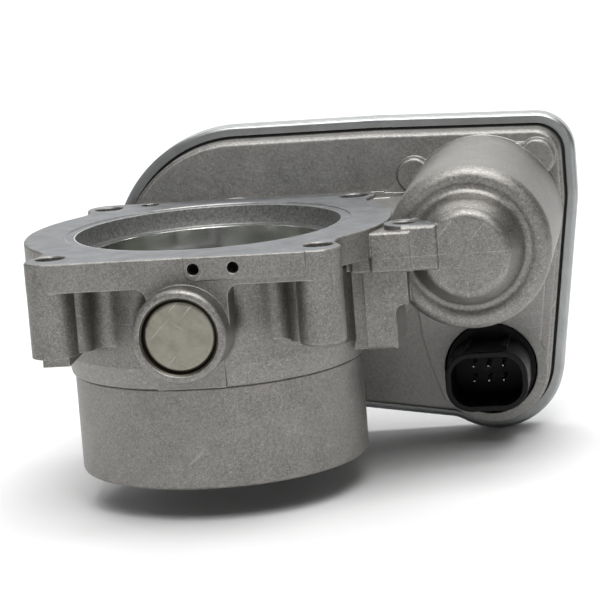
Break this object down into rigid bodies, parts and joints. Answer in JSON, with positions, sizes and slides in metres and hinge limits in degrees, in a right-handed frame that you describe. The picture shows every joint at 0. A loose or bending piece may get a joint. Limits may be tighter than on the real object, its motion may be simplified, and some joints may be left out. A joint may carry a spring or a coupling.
{
  "type": "throttle body",
  "caption": "Electronic throttle body: round air barrel and bolted flange, throttle plate, gear case, motor housing and round electrical socket.",
  "frame": {"origin": "on the air passage's axis, in the plane of the flange's mounting face", "axes": "+Z out of the flange towards the manifold; +Y along the throttle shaft towards the gear case; +X towards the motor side"},
  "size_m": [0.1672, 0.1452, 0.1052],
  "materials": {
    "cast_aluminium": "satin die-cast",
    "lid_steel": "bright rolled",
    "seal_rubber": "matt",
    "plug_steel": "zinc plated",
    "bearing_steel": "ground",
    "dark_steel": "satin",
    "spring_steel": "drawn wire",
    "plate_steel": "satin",
    "shaft_steel": "ground",
    "gear_plastic": "moulded",
    "black_plastic": "moulded",
    "copper": "enamelled wire",
    "contact_brass": "stamped",
    "pin_tin": "tin plated",
    "magnet_ferrite": "sintered",
    "carbon": "pressed",
    "board_green": "solder mask"
  },
  "bodies": {
    "housing": {"housing": "cast_aluminium", "gear_cover": "lid_steel", "cover_seal": "seal_rubber", "shaft_end_plug": "plug_steel", "front_bearing_cup": "bearing_steel", "front_bearing_needles": "bearing_steel", "front_shaft_seal": "seal_rubber", "rear_shaft_seal": "seal_rubber", "rear_bearing_outer_ring": "bearing_steel", "rear_bearing_balls": "bearing_steel", "return_spring": "spring_steel", "spring_sleeve": "black_plastic", "idler_pin": "shaft_steel", "closed_stop_screw": "dark_steel", "motor_can": "lid_steel", "motor_magnets": "magnet_ferrite", "motor_front_bush": "contact_brass", "motor_rear_bush": "contact_brass", "motor_end_cap": "black_plastic", "motor_brushes": "carbon", "motor_contacts": "contact_brass", "motor_plate": "lid_steel", "motor_screws": "dark_steel", "motor_spring_washer": "spring_steel", "connector_housing": "black_plastic", "connector_pins": "pin_tin", "connector_seal": "seal_rubber", "lead_frame_carrier": "black_plastic", "lead_frame_strips": "contact_brass", "sensor_board": "board_green", "sensor_chips": "black_plastic"},
    "throttle": {"throttle_shaft": "shaft_steel", "throttle_plate": "plate_steel", "plate_screws": "dark_steel", "rear_bearing_inner_ring": "bearing_steel", "sector_gear": "black_plastic", "sector_gear_insert": "dark_steel", "sensor_magnet": "magnet_ferrite"},
    "idler": {"idler_gear": "gear_plastic"},
    "motor_rotor": {"motor_shaft": "shaft_steel", "motor_armature": "dark_steel", "motor_windings": "copper", "motor_commutator": "contact_brass", "motor_pinion": "contact_brass"}
  },
  "joints": [
    {"name": "throttle_turn", "type": "hinge", "parent": "housing", "child": "throttle", "pos_m": [0, 0, -0.022], "axis": [0, 1, 0], "range_deg": [0, 84], "deforming": ["return_spring"]},
    {"name": "idler_turn", "type": "hinge", "parent": "housing", "child": "idler", "pos_m": [0.04297, 0.07, -0.02041], "axis": [0, 1, 0], "range_deg": [-370, 0]},
    {"name": "motor_turn", "type": "hinge", "parent": "housing", "child": "motor_rotor", "pos_m": [0.0805, 0.03, -0.0098], "axis": [0, 1, 0], "range_deg": [0, 2027]}
  ],
  "couplings": [
    {"joint": "idler_turn", "follows": "throttle_turn", "ratio": -4.375},
    {"joint": "motor_turn", "follows": "throttle_turn", "ratio": 24.062}
  ]
}
